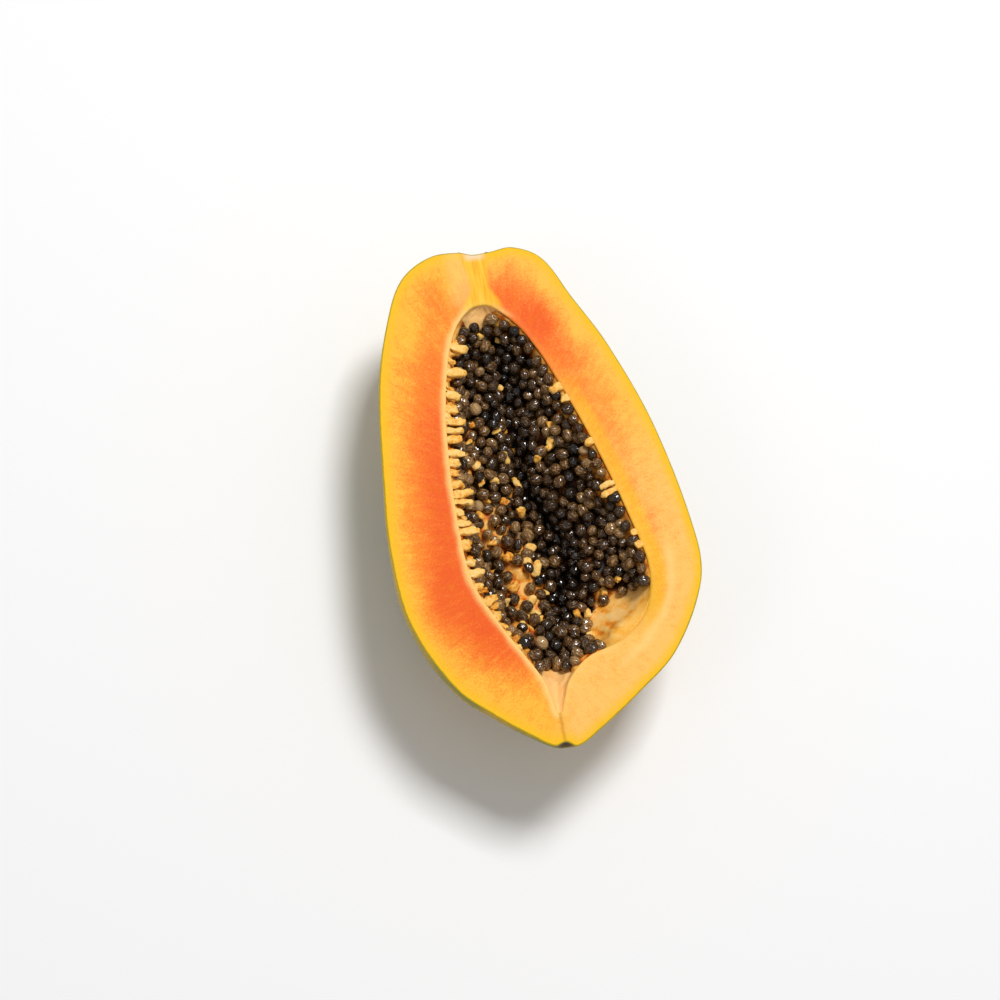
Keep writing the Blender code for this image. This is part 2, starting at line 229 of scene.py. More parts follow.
# How red the flesh is next to the hollow, from the stem end down: place along the fruit and ripeness
RIPE_LEFT = [
    (125, 0.20), (104, 0.42), (85, 0.48), (66, 0.62), (46, 0.78), (25, 0.88), (0, 0.96), (-20, 1.0),
    (-45, 0.98), (-68, 1.0), (-80, 0.82), (-92, 0.34), (-105, 0.05), (-125, 0.0),
]
RIPE_RIGHT = [
    (125, 0.35), (110, 0.66), (98, 0.86), (84, 0.95), (70, 0.66), (57, 0.50), (45, 0.43), (25, 0.35),
    (0, 0.27), (-30, 0.15), (-125, 0.03),
]
# Blotches that are redder or paler than the flesh round them: x, y, half width, half length, change
BLOTCHES = [
    (29, 92, 6, 12, 0.30), (40, 66, 7, 8, 0.10), (-30, -52, 6, 12, 0.14), (-48, -44, 8, 16, 0.20),
    (-14, 104, 6, 8, -0.16), (-26, 108, 7, 8, 0.16), (63, -24, 3, 13, 0.24), (58, -4, 3, 12, 0.12),
    (-36, 16, 5, 14, 0.10), (16, 112, 6, 8, 0.12), (52, 40, 5, 14, 0.08), (63, -62, 4, 9, 0.16),
    (73, -26, 4, 8, 0.12), (30, -96, 9, 6, 0.10), (-49, -60, 8, 12, 0.20), (33, 107, 6, 9, -0.30),
    (44, 84, 5, 12, -0.25), (-40, 84, 5, 14, -0.12),
]
RIPE_FROM_SKIN = 0.78
RIPE_CLOUDS = [(0.09, 13.0, 2), (0.07, 5.0, 3)]
# A yellower, less ripe band along the right rim: fades from the rim and along the fruit, and strengths
BAND_FROM_RIM, BAND_FOOT, YELLOW_BAND_TOP = (10.0, 5.0), (-82, -60), (62, 36)
BAND_YELLOW, BAND_LESS_RIPE, BAND_LESS_PALE = 0.4, 0.3, 0.9
YELLOW_BY_SKIN = (7.0, 0.5)
# The pale lip round the hollow: its width in millimetres, and how strong it is on each side and end
LIP_WIDTH, LIP_WIDTH_CHANGE, LIP_LUMP = 2.7, 0.8, 6.0
LEFT_LIP, RIGHT_LIP, RIGHT_LIP_APEX, RIGHT_LIP_FOOT = 0.95, 0.12, 0.65, 0.2
APEX_FADE, FOOT_FADE = (88, 94), (-60, -74)
PALE_LINE = [(68.0, -30.0), (68.3, -44.0), (66.0, -57.0), (59.7, -69.4), (46.5, -83.5), (31.0, -92.5)]
PALE_LINE_TONE, PALE_LINE_WIDTH = 0.7, 2.3
PALE_LINE_FROM_SKIN, PALE_LINE_TOP, PALE_LINE_LEFT = (0, 8), (-28, -44), (28, 44)
STEM_SIDE_TONE, STEM_SIDE_X, STEM_SIDE_FADE, STEM_SIDE_FOOT = 0.45, 8, (12, 2), (94, 102)
# The painted sheen on the right: its fade across from the axis, its fade down the fruit, and its least
# strength
RIGHT_SIDE_FADE, RIGHT_SIDE_DOWN, RIGHT_SIDE_LEAST = (-6, 8), (45, -15), 0.25


class Outline:
    """A smooth outline through the given points, which meets the fruit's axis square at both ends."""

    def __init__(self, points):
        given = [Vector(point) for point in points]
        mirrored = [Vector((-given[1].x, given[1].y)), *given, Vector((-given[-2].x, given[-2].y))]
        headings = [(after - before).normalized() for before, after in zip(mirrored, mirrored[2:])]
        line = [given[0]]
        for i in range(len(given) - 1):
            a, b = given[i], given[i + 1]
            reach = (b - a).length / 3
            line += interpolate_bezier(a, a + headings[i] * reach, b - headings[i + 1] * reach, b, 25)[1:]
        self.line = np.array(line)
        steps = np.hypot(*np.diff(self.line, axis=0).T)
        self.shares = np.concatenate([[0.0], np.cumsum(steps)]) / steps.sum()

    def at(self, share):
        """The distance from the axis and the place along it, at this share of the outline's length."""
        return np.interp(share, self.shares, self.line[:, 0]), np.interp(share, self.shares, self.line[:, 1])


class Loft:
    """Ovals hung between a right, a left and a lower outline. share is 0 at the stem end and 1 at the
    blossom end. turn is the angle round the fruit: 0 on the right, -90 degrees below, -180 on the left.
    """

    def __init__(self, right, left, under, lobe_rise):
        self.right, self.left, self.under = Outline(right), Outline(left), Outline(under)
        self.lobe_rise = lobe_rise

    def points(self, share, turn):
        """The surface at these shares and turns."""
        outlines = (self.right, self.left, self.under)
        (right, right_y), (left, left_y), (under, under_y) = (outline.at(share) for outline in outlines)
        across, down = np.cos(turn), np.sin(turn)
        swell = 1 + self.lobe_rise * np.cos(RIBS * (np.abs(turn) - math.pi / 2)) * down**2
        x = (right - left) / 2 + (right + left) / 2 * across * swell
        y = np.where(across > 0, right_y, left_y) * across**2 + under_y * down**2
        return np.stack([x, y, under * down * swell], axis=-1)

    def inside(self, share, turn, distance):
        """The same points moved this far towards the line along the middle of the hollow."""
        wall = self.points(share, turn)
        heart = np.zeros_like(wall)
        heart[..., 0] = (self.right.at(share)[0] - self.left.at(share)[0]) / 2
        heart[..., 1] = np.clip(wall[..., 1], HEART_BLOSSOM_END, HEART_STEM_END)
        inward = heart - wall
        length = np.maximum(np.linalg.norm(inward, axis=-1), 1e-9)
        return wall + inward * (np.minimum(distance / length, 0.95))[..., None]


def placed(points):
    """Millimetres from the fruit's axis in the cut plane as metres in the shared frame."""
    return ((np.asarray(points, float) + (AXIS_X, 0.0, CUT_HEIGHT)) * MM).tolist()


def lumps(points, size, seed):
    """Smooth noise from -1 to 1, with lumps about this many millimetres apart."""
    shift = Vector((17.3, -9.1, 5.7)) * seed
    found = [noise.noise(Vector(point) / size + shift) for point in points.reshape(-1, 3)]
    return np.array(found).reshape(points.shape[:-1])


def smooth(value, start=0.0, full=1.0):
    """0 up to the start and 1 from where it is full, with a soft turn at both."""
    value = np.clip((value - start) / (full - start), 0.0, 1.0)
    return value * value * (3 - 2 * value)


def oval(points, x, y, half_width, half_length):
    """0 at the middle of an oval patch, 1 at its edge and more outside it."""
    return ((points[..., 0] - x) / half_width) ** 2 + ((points[..., 1] - y) / half_length) ** 2


def bell(points, x, y, half_width, half_length, height=1.0):
    """This height at the middle of an oval patch, fading out beyond its edge."""
    return height * np.exp(-oval(points, x, y, half_width, half_length))


def ripe_at(y, stops):
    """The ripeness at these places along the fruit."""
    places, ripe = np.array(stops, float).T
    return np.interp(-y, -places, ripe)


def groove_depth(points):
    """How deep the seam between the two lobes cuts into the face at the blossom end."""
    return GROOVE_DEPTH * np.exp(-((points[:, 0] / GROOVE_WIDTH) ** 2)) * smooth(points[:, 1], *GROOVE_FADE)


def distance_to(points, line):
    """How far each point is from a line through these places, both in the cut plane."""
    ends = [Vector(place).to_3d() for place in line]
    fine = [a.lerp(b, step / 24) for a, b in zip(ends, ends[1:]) for step in range(25)]
    tree = KDTree(len(fine))
    for i, place in enumerate(fine):
        tree.insert(place, i)
    tree.balance()
    found = [tree.find((x, y, 0))[2] for x, y, _ in points.reshape(-1, 3)]
    return np.array(found).reshape(points.shape[:-1])


def grid_faces(rows, columns, start):
    """Quads between the points of a grid that is stored row by row."""
    corner = start + np.arange(rows - 1)[:, None] * columns + np.arange(columns - 1)
    return np.stack([corner, corner + 1, corner + columns + 1, corner + columns], axis=-1).reshape(-1, 4)


def store(mesh, name, values):
    """Keeps a number or a vector for each point of a mesh, for its material or its Geometry Nodes."""
    values = np.asarray(values, np.float32)
    kind, key = ("FLOAT", "value") if values.ndim == 1 else ("FLOAT_VECTOR", "vector")
    mesh.attributes.new(name, kind, "POINT").data.foreach_set(key, values.ravel())


skin_loft = Loft(SKIN_RIGHT, SKIN_LEFT, SKIN_KEEL, RIB_RISE)
hollow = Loft(HOLLOW_RIGHT, HOLLOW_LEFT, HOLLOW_FLOOR, SEED_RIDGE_RISE)
rim_right, rim_left = hollow.right.line, hollow.left.line * (-1, 1)
ring = np.linspace(0, 1, ALONG)
shares = ring - END_CROWDING * np.sin(math.tau * ring) / math.tau

# The cut face: one sheet each side of the axis, from the hollow's rim out to the skin.
sheets = []
for side, sign in (("right", 1), ("left", -1)):
    rim = np.stack(getattr(hollow, side).at(shares), axis=-1) * (sign, 1)
    edge = np.stack(getattr(skin_loft, side).at(shares), axis=-1) * (sign, 1)
    width = np.linalg.norm(edge - rim, axis=-1)
    inner, outer = RIM_STEPS[-1] / width, 1 - EDGE_STEPS[0] / width
    columns = [step / width for step in RIM_STEPS]
    columns += [inner + (outer - inner) * share for share in np.linspace(0, 1, FLESH_COLUMNS)[1:-1]]
    columns += [1 - step / width for step in EDGE_STEPS]
    sheets.append(np.stack([rim + (edge - rim) * column[:, None] for column in columns], axis=1))
columns_across = sheets[0].shape[1]
flesh = np.concatenate([sheet.reshape(-1, 2) for sheet in sheets])
flesh = np.column_stack([flesh, np.zeros(len(flesh))])
on_right = np.arange(len(flesh)) < len(flesh) / 2
x, y = flesh[:, 0], flesh[:, 1]
from_rim = np.where(on_right, distance_to(flesh, rim_right), distance_to(flesh, rim_left))
from_edge = distance_to(flesh, np.concatenate([skin_loft.right.line, skin_loft.left.line[::-1] * (-1, 1)]))
from_rim.reshape(-1, columns_across)[:, 0] = 0.0
from_edge.reshape(-1, columns_across)[:, -1] = 0.0

inland = smooth(from_rim, 0, KNIFE_WAVE_MARGIN) * smooth(from_edge, 0, KNIFE_WAVE_MARGIN)
drop = KNIFE_WAVE * (0.5 + 0.5 * lumps(flesh, KNIFE_WAVE_LENGTH, 1)) * inland
drop += RIM_ROUNDING * np.exp(-from_rim / RIM_ROUNDING_OVER)
drop += EDGE_ROUNDING * np.exp(-from_edge / EDGE_ROUNDING_OVER)
drop += bell(flesh, *SLUMP) * on_right * np.exp(-from_rim / SLUMP_OVER)
flesh[:, 2] = -(drop + groove_depth(flesh) * smooth(from_edge, 0, GROOVE_EDGE_MARGIN))

# The flesh's tones: riper from the skin towards the hollow, yellow under the skin, pale round the hollow.
across = from_edge / np.maximum(from_edge + from_rim, 1e-6)
ripeness = np.where(on_right, ripe_at(y, RIPE_RIGHT), ripe_at(y, RIPE_LEFT))
ripeness *= smooth(across, 0, RIPE_FROM_SKIN) * (0.75 + 0.25 * across)
ripeness += sum(bell(flesh, *blotch) for blotch in BLOTCHES)
ripeness += sum(amount * lumps(flesh, size, seed) for amount, size, seed in RIPE_CLOUDS)
right_band = smooth(from_rim, *BAND_FROM_RIM) * smooth(y, *BAND_FOOT) * on_right
yellow_band = right_band * smooth(y, *YELLOW_BAND_TOP)
ripeness *= 1 - BAND_LESS_RIPE * yellow_band
yellow = np.maximum(smooth(from_edge, *YELLOW_BY_SKIN), BAND_YELLOW * yellow_band)
right_lip = RIGHT_LIP + RIGHT_LIP_APEX * smooth(y, *APEX_FADE) + RIGHT_LIP_FOOT * smooth(y, *FOOT_FADE)
lip_width = LIP_WIDTH + LIP_WIDTH_CHANGE * lumps(flesh, LIP_LUMP, 10)
lip = np.exp(-((from_rim / lip_width) ** 3)) * np.where(on_right, right_lip, LEFT_LIP)
pale_line = PALE_LINE_TONE * np.exp(-((distance_to(flesh, PALE_LINE) / PALE_LINE_WIDTH) ** 2))
pale_line *= smooth(from_edge, *PALE_LINE_FROM_SKIN) * smooth(y, *PALE_LINE_TOP) * smooth(x, *PALE_LINE_LEFT)
beside_stem = STEM_SIDE_TONE * smooth(np.abs(np.abs(x) - STEM_SIDE_X), *STEM_SIDE_FADE) * ~on_right
pale = np.clip(lip + pale_line + beside_stem * smooth(y, *STEM_SIDE_FOOT), 0, 1)
# Paler towards the right, more so down the fruit and less in the yellow band: painted sheen of the light from
# the right.
right_side = RIGHT_SIDE_LEAST + (1 - RIGHT_SIDE_LEAST) * smooth(y, *RIGHT_SIDE_DOWN)
right_side *= smooth(x, *RIGHT_SIDE_FADE) * (1 - BAND_LESS_PALE * right_band)

# The skin under it, down to the flat spot.
share_grid, turn_grid = np.meshgrid(shares, np.linspace(0, -math.pi, AROUND_SKIN), indexing="ij")
skin = skin_loft.points(share_grid, turn_grid).reshape(-1, 3)
skin[:, 2] *= (CUT_HEIGHT + FLAT_SPOT_DEPTH) / -skin[:, 2].min()
sideways = skin * (1, 0.12, 1)
sideways /= np.maximum(np.linalg.norm(sideways, axis=1), 1e-6)[:, None]
from_axis = np.hypot(skin[:, 0], skin[:, 2])
scar = SCAR_RISE * np.exp(-(((from_axis - SCAR_RADIUS) / SCAR_WIDTH) ** 2)) * (skin[:, 1] > 0)
unevenness = SKIN_LUMP * lumps(skin, SKIN_LUMP_SIZE, 4) * smooth(skin[:, 2], *SKIN_LUMP_FADE)
skin += sideways * unevenness[:, None]
skin[:, 1] += scar * (1 + 0.5 * lumps(skin, SCAR_LUMP, 5)) * smooth(skin[:, 2], *SCAR_FADE)
skin[:, 2] = np.maximum(skin[:, 2], -CUT_HEIGHT)
skin[:, 2] -= EDGE_ROUNDING * np.exp(skin[:, 2] / EDGE_ROUNDING_DOWN)

# The wall of the hollow. Its torn fibres run from the rim down to the floor.
share_grid, turn_grid = np.meshgrid(shares, np.linspace(0, -math.pi, AROUND_HOLLOW), indexing="ij")
wall = hollow.points(share_grid, turn_grid).reshape(-1, 3)
inward = hollow.inside(share_grid, turn_grid, 1.0).reshape(-1, 3) - wall
across_fibres = share_grid * RIM_LENGTH / PULP_FIBRE_WIDTH
along_fibres = turn_grid * HOLLOW_HALF_GIRTH / math.pi / PULP_FIBRE_LENGTH
combed = np.stack([across_fibres, along_fibres, 0 * turn_grid], axis=-1)
relief = lumps(combed.reshape(-1, 3), 1.0, 6) + PULP_KNOTS * lumps(wall, PULP_KNOT_SIZE, 7)
bareness = np.max([bell(wall, *patch) for patch in BARE_PATCHES], axis=0)
bulge = sum(bell(wall, *place) for place in BULGES) * smooth(wall[:, 2], *BULGE_FADE)
wall += inward * (PULP_RELIEF * relief * smooth(wall[:, 2], *PULP_FADE) + bulge)[:, None]
drop = bell(wall, *SLUMP) * (wall[:, 0] > 0) * np.exp(wall[:, 2] / SLUMP_DOWN)
drop += RIM_ROUNDING * np.exp(wall[:, 2] / RIM_ROUNDING_DOWN) + groove_depth(wall) * np.exp(wall[:, 2])
wall[:, 2] -= drop

right_sheet = grid_faces(ALONG, columns_across, 0)
left_sheet = grid_faces(ALONG, columns_across, ALONG * columns_across)
skin_faces = grid_faces(ALONG, AROUND_SKIN, len(flesh))
wall_faces = grid_faces(ALONG, AROUND_HOLLOW, len(flesh) + len(skin))
faces = np.concatenate([right_sheet, left_sheet, skin_faces, wall_faces])
finishes = [0] * (2 * len(right_sheet)) + [1] * len(skin_faces) + [2] * len(wall_faces)

fruit_mesh = bpy.data.meshes.new("papaya_fruit")
fruit_mesh.from_pydata(placed(np.concatenate([flesh, skin, wall])), [], faces.tolist())
fruit_mesh.polygons.foreach_set("material_index", finishes)
before_wall, after_flesh = len(flesh) + len(skin), len(skin) + len(wall)
flesh_values = {
    "from_edge": from_edge, "ripeness": ripeness, "yellow": yellow, "pale": pale, "right_side": right_side,
}
for name, values in flesh_values.items():
    store(fruit_mesh, name, np.pad(values, (0, after_flesh)))
# Where each point of the flesh lies along the rim and away from it, in millimetres, for its fine rays
along_rim = np.concatenate([np.repeat(shares, columns_across)] * 2) * RIM_LENGTH
ray_places = np.column_stack([along_rim, from_rim, 90.0 * on_right])
store(fruit_mesh, "ray_place", np.pad(ray_places, ((0, after_flesh), (0, 0))))
store(fruit_mesh, "relief", np.pad(relief, (before_wall, 0)))
store(fruit_mesh, "bareness", np.pad(bareness, (before_wall, 0)))
bm = bmesh.new()
bm.from_mesh(fruit_mesh)
bmesh.ops.remove_doubles(bm, verts=bm.verts, dist=WELD_GAP * MM)
bmesh.ops.recalc_face_normals(bm, faces=bm.faces)
for face in bm.faces:
    face.smooth = True
for bm_edge in bm.edges:
    bm_edge.smooth = len({face.material_index for face in bm_edge.link_faces}) == 1
bm.to_mesh(fruit_mesh)
bm.free()
fruit = new_object("papaya_fruit", fruit_mesh)

# Ripe papaya flesh, cut with a knife: moist and finely grained, yellow under the skin, orange to red
# towards the hollow, pale where it meets the pulp. A yellow fibrous column runs in from the stem.
SOFT_ENDS = {"interpolation_type": "SMOOTHSTEP"}
# The column's flares: place along the fruit where one starts and is full, and its width there, in metres
COLUMN_FLARES = [(0.112, 0.125, 0.0026), (0.108, 0.096, 0.005)]
# The stem scar's pale end and the crease at the blossom end: outer and inner distance off the middle,
# strength, place along the fruit where the mark starts and is full, and colour
MIDDLE_MARKS = [
    (0.007, 0.002, 0.8, 0.1205, 0.1245, "F8DCC0"), (0.0010, 0.0002, 0.4, -0.104, -0.110, "B56A1E"),
]
flesh_material, tree, shader = new_material("cut_papaya_flesh")
place = add(tree, "TexCoord").outputs["Object"]
attributes = {
    name: add(tree, "Attribute", attribute_name=name).outputs["Fac"] for name in flesh_values
}
clouds, grain = (
    add(tree, "TexNoise", {"Vector": place, "Scale": 1 / size, "Detail": detail, "Roughness": 0.7})
    for size, detail in ((5 * MM, 6), (1 * MM, 3))
)
ray_place = add(tree, "Attribute", attribute_name="ray_place").outputs["Vector"]
ray_stretch = add(tree, "Mapping", {"Vector": ray_place, "Scale": (1 / 1.8, 1 / 14.0, 1.0)})
rays = add(tree, "TexNoise", {"Vector": ray_stretch, "Scale": 1.0, "Detail": 3.0, "Roughness": 0.6})
clouded, grained, rayed = (
    add(tree, "Math", {0: pattern, 1: amount, 2: -amount / 2}, operation="MULTIPLY_ADD")
    for pattern, amount in ((clouds, 0.76), (grain, 1.10), (rays, 0.60))
)
mottled = add(tree, "Math", {0: clouded, 1: grained}, operation="ADD")
uneven = add(tree, "Math", {0: mottled, 1: rayed}, operation="ADD")
redness = add(tree, "Math", {0: attributes["ripeness"], 1: uneven}, operation="ADD", use_clamp=True)
ripe = add(
    tree, "ValToRGB", {0: redness},
    stops=[(0.0, "FCBA34"), (0.25, "FAA02A"), (0.5, "F8841F"), (0.75, "F56D13"), (1.0, "EF5A08")],
)
# The painted sheen on the right side, stronger where the flesh is less red.
unripe = add(tree, "Math", {0: redness, 1: -0.8, 2: 0.72}, operation="MULTIPLY_ADD", use_clamp=True)
sheen_amount = add(tree, "Math", {0: attributes["right_side"], 1: unripe}, operation="MULTIPLY")
sheen_paled = add(tree, "Mix", {0: sheen_amount, 6: ripe, 7: "FBC56C"}, data_type="RGBA")
in_yellow = add(tree, "Math", {0: attributes["yellow"], 1: clouded}, operation="ADD", use_clamp=True)
yellowed = add(tree, "Mix", {0: in_yellow, 6: sheen_paled, 7: "F9BE08"}, data_type="RGBA")
lip_amount = add(tree, "Math", {0: grained, 1: attributes["pale"]}, operation="ADD", use_clamp=True)
lip_shown = add(tree, "Math", {0: lip_amount, 1: attributes["pale"]}, operation="MINIMUM")
lipped = add(tree, "Mix", {0: lip_shown, 6: yellowed, 7: "FDD07A"}, data_type="RGBA")
split = add(tree, "SeparateXYZ", {0: place}).outputs
from_middle = add(tree, "Math", {0: split["X"], 1: AXIS_X * MM}, operation="SUBTRACT")
off_middle = add(tree, "Math", {0: from_middle}, operation="ABSOLUTE")
narrowed = off_middle
for start, full, flare in COLUMN_FLARES:
    flared = add(tree, "MapRange", {0: split["Y"], 1: start, 2: full, 4: flare}, **SOFT_ENDS)
    narrowed = add(tree, "Math", {0: narrowed, 1: flared}, operation="SUBTRACT")
in_column = add(tree, "MapRange", {0: narrowed, 1: 0.0062, 2: 0.0030}, **SOFT_ENDS)
above_hollow = add(tree, "MapRange", {0: split["Y"], 1: 0.092, 2: 0.100}, **SOFT_ENDS)
column = add(tree, "Math", {0: in_column, 1: above_hollow}, operation="MULTIPLY")
combed_place = add(tree, "Mapping", {"Vector": place, "Scale": (1 / (1.1 * MM), 55, 55)})
fibres = add(tree, "TexNoise", {"Vector": combed_place, "Scale": 1.0, "Detail": 2.0})
fibre_colour = add(
    tree, "ValToRGB", {0: fibres}, stops=[(0.30, "EFAE14"), (0.5, "F8BE20"), (0.7, "FACB40")]
)
column_shown = add(tree, "Math", {0: column, 1: 0.88}, operation="MULTIPLY")
marked = add(tree, "Mix", {0: column_shown, 6: lipped, 7: fibre_colour}, data_type="RGBA")
for outside, inside, strength, start, full, colour in MIDDLE_MARKS:
    beside = add(tree, "MapRange", {0: off_middle, 1: outside, 2: inside, 4: strength}, **SOFT_ENDS)
    along = add(tree, "MapRange", {0: split["Y"], 1: start, 2: full}, **SOFT_ENDS)
    in_mark = add(tree, "Math", {0: beside, 1: along}, operation="MULTIPLY")
    marked = add(tree, "Mix", {0: in_mark, 6: marked, 7: colour}, data_type="RGBA")
ragged = add(
    tree, "Math", {0: clouded, 1: 1.6, 2: attributes["from_edge"]}, operation="MULTIPLY_ADD"
)
skin_line = add(tree, "MapRange", {0: ragged, 1: 0.9, 2: 0.25, 4: 0.8}, **SOFT_ENDS)
edged = add(tree, "Mix", {0: skin_line, 6: marked, 7: "97921E"}, data_type="RGBA")
moist = add(tree, "MapRange", {0: clouds, 3: 0.40, 4: 0.56})
height = add(tree, "Math", {0: fibres, 1: column, 2: grain}, operation="MULTIPLY_ADD")
dimples = add(tree, "Bump", {"Height": height, "Distance": 0.5 * MM, "Strength": 0.45})
feed(tree, shader, {
    "Base Color": edged, "Roughness": moist, "Normal": dimples, "IOR": 1.36, "Specular IOR Level": 0.25,
    "Subsurface Weight": 0.08, "Subsurface Radius": (1.0, 0.4, 0.1), "Subsurface Scale": 2 * MM,
})

# Papaya skin: thin, waxy and smooth, yellow mottled with green, with dark green freckles in drifts.
STEM_SCAR = (AXIS_X * MM, 0.126, CUT_HEIGHT * MM)
BLOSSOM_TIP = (AXIS_X * MM, -0.1245, CUT_HEIGHT * MM)
skin_material, tree, shader = new_material("waxy_papaya_skin")
place = add(tree, "TexCoord").outputs["Object"]
drawn_out = add(tree, "Mapping", {"Vector": place, "Scale": (1.0, 0.5, 1.0)})
patches = add(
    tree, "TexNoise", {"Vector": drawn_out, "Scale": 1 / (55 * MM), "Detail": 4, "Roughness": 0.6}
)
drifts = add(tree, "TexNoise", {"Vector": place, "Scale": 1 / (30 * MM), "Detail": 2})
wax = add(
    tree, "TexNoise", {"Vector": place, "Scale": 1 / (2.4 * MM), "Detail": 3, "Roughness": 0.6}
)
ground = add(
    tree, "ValToRGB", {0: patches},
    stops=[(0.30, "5E7410"), (0.40, "9A8E12"), (0.50, "CBA212"), (0.64, "E6AC14")],
)
wax_amount = add(tree, "Math", {0: wax, 1: 0.3}, operation="MULTIPLY")
mottled = add(tree, "Mix", {0: wax_amount, 6: ground, 7: "6E741C"}, data_type="RGBA")
freckles = add(tree, "TexVoronoi", {"Vector": place, "Scale": 1 / (2.6 * MM)}).outputs["Distance"]
freckle_edge = add(tree, "Math", {0: wax, 1: 0.25, 2: freckles}, operation="MULTIPLY_ADD")
freckle_size = add(tree, "MapRange", {0: drifts, 1: 0.40, 2: 0.68, 3: 0.10, 4: 0.52})
in_freckle = add(tree, "Math", {0: freckle_size, 1: freckle_edge}, operation="SUBTRACT")
freckled = add(tree, "MapRange", {0: in_freckle, 1: -0.03, 2: 0.18, 4: 0.7}, **SOFT_ENDS)
speckled = add(tree, "Mix", {0: freckled, 6: mottled, 7: "37500F"}, data_type="RGBA")
from_scar, from_tip = (
    add(tree, "VectorMath", {0: place, 1: end}, operation="DISTANCE").outputs["Value"]
    for end in (STEM_SCAR, BLOSSOM_TIP)
)
cork_edge = add(tree, "Math", {0: wax, 1: 0.004, 2: from_scar}, operation="MULTIPLY_ADD")
corky = add(tree, "MapRange", {0: cork_edge, 1: 0.0120, 2: 0.0100}, **SOFT_ENDS)
cork_place = add(tree, "Math", {0: cork_edge, 1: 100.0}, operation="MULTIPLY")
cork_ring = add(
    tree, "ValToRGB", {0: cork_place},
    stops=[(0.25, "B09A5C"), (0.55, "7E6A34"), (0.80, "3C3A16"), (1.0, "4E5A1A")],
)
corked = add(tree, "Mix", {0: corky, 6: speckled, 7: cork_ring}, data_type="RGBA")
at_tip = add(tree, "MapRange", {0: from_tip, 1: 0.006, 2: 0.003}, **SOFT_ENDS)
tipped = add(tree, "Mix", {0: at_tip, 6: corked, 7: "5A3F16"}, data_type="RGBA")
sheen = add(tree, "MapRange", {0: patches, 3: 0.34, 4: 0.48})
pores = add(tree, "Bump", {"Height": wax, "Distance": 0.3 * MM, "Strength": 0.25})
feed(tree, shader, {
    "Base Color": tipped, "Roughness": sheen, "Normal": pores, "IOR": 1.36, "Specular IOR Level": 0.35,
    "Coat Weight": 0.05, "Coat Roughness": 0.25,
})

# Pulp that lines the hollow: soft, stringy and cream, oranger in the furrows between its fibres.
pulp_material, tree, shader = new_material("cream_papaya_pulp")
place = add(tree, "TexCoord").outputs["Object"]
raised = add(tree, "Attribute", attribute_name="relief").outputs["Fac"]
strands = add(
    tree, "TexNoise",
    {"Vector": place, "Scale": 1 / (3.0 * MM), "Detail": 4, "Roughness": 0.6, "Distortion": 1.0},
)
height = add(tree, "Math", {0: raised, 1: 0.35, 2: strands}, operation="MULTIPLY_ADD")
cream = add(
    tree, "ValToRGB", {0: height},
    stops=[(0.20, "E88428"), (0.38, "F8AA40"), (0.52, "FFC062"), (0.72, "FFCE80")],
)
split = add(tree, "SeparateXYZ", {0: place}).outputs
# Painted light: near the rim the steep wall is a lighter yellow, set against the shade it lies in.
by_rim = add(tree, "MapRange", {0: split["Z"], 1: 0.058, 2: 0.0695, 4: 0.85}, **SOFT_ENDS)
rim_painted_light = add(tree, "Mix", {0: by_rim, 6: cream, 7: "FFBE4C"}, data_type="RGBA")
# Towards both ends the wall is pinkish tan. This is partly its own tone and partly painted light set against
# the shade there.
off_centre = add(tree, "Math", {0: split["Y"]}, operation="ABSOLUTE")
end_painted_light = add(tree, "MapRange", {0: off_centre, 1: 0.082, 2: 0.092, 4: 0.75}, **SOFT_ENDS)
rim_and_ends_painted_light = add(tree, "Mix", {0: end_painted_light, 6: rim_painted_light, 7: "FFCB88"}, data_type="RGBA")
bare = add(tree, "Attribute", attribute_name="bareness").outputs["Fac"]
torn = add(tree, "Math", {0: strands, 1: 0.7, 2: bare}, operation="MULTIPLY_ADD")
is_clean = add(tree, "MapRange", {0: torn, 1: 0.40, 2: 0.62}, **SOFT_ENDS)
seeded = add(
    tree, "ValToRGB", {0: strands}, stops=[(0.35, "5A2408"), (0.5, "A85214"), (0.65, "E8963A")]
)
lining = add(tree, "Mix", {0: is_clean, 6: seeded, 7: rim_and_ends_painted_light}, data_type="RGBA")
strings = add(tree, "Bump", {"Height": strands, "Distance": 1.0 * MM, "Strength": 0.32})
damp = add(tree, "MapRange", {0: strands, 3: 0.36, 4: 0.5})
feed(tree, shader, {
    "Base Color": lining, "Roughness": damp, "Normal": strings, "IOR": 1.36, "Specular IOR Level": 0.12,
    "Subsurface Weight": 0.1, "Subsurface Radius": (1.0, 0.5, 0.15), "Subsurface Scale": 2 * MM,
})
for material in (flesh_material, skin_material, pulp_material):
    fruit_mesh.materials.append(material)
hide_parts("fruit_half")
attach(fruit, "root")

# ---------------------------------------------------------------- bed under the seeds
# Deeper seeds and the pulp they grow from, seen in the gaps between the top seeds: cream and orange on
# the left, nearly black in the trough down the middle, the seeds' dark brown with painted shade. It is one
# lumpy sheet.
BED_ALONG, BED_AROUND = 190, 90
BED_AT_RIM, BED_AT_FLOOR, BED_FLOOR_DEPTH, BED_FADE = 1.2, 11.0, 38.0, 9.0
BED_THINNEST, BED_TUCK = 2.6, 3.2
TROUGH = [
    (8.5, 76), (10.7, 59), (8.3, 27), (10.7, 12), (18.3, -4), (25.2, -18), (26.3, -31), (20.3, -42),
    (14.3, -60),
]
TROUGH_SINK, TROUGH_HALF_WIDTH = 8.5, 6.0
BED_SHARES, BED_RIM_ANGLE = (0.015, 0.98), 0.03
CLUMP_RISE, CLUMP_SIZE = 4.5, 9.0
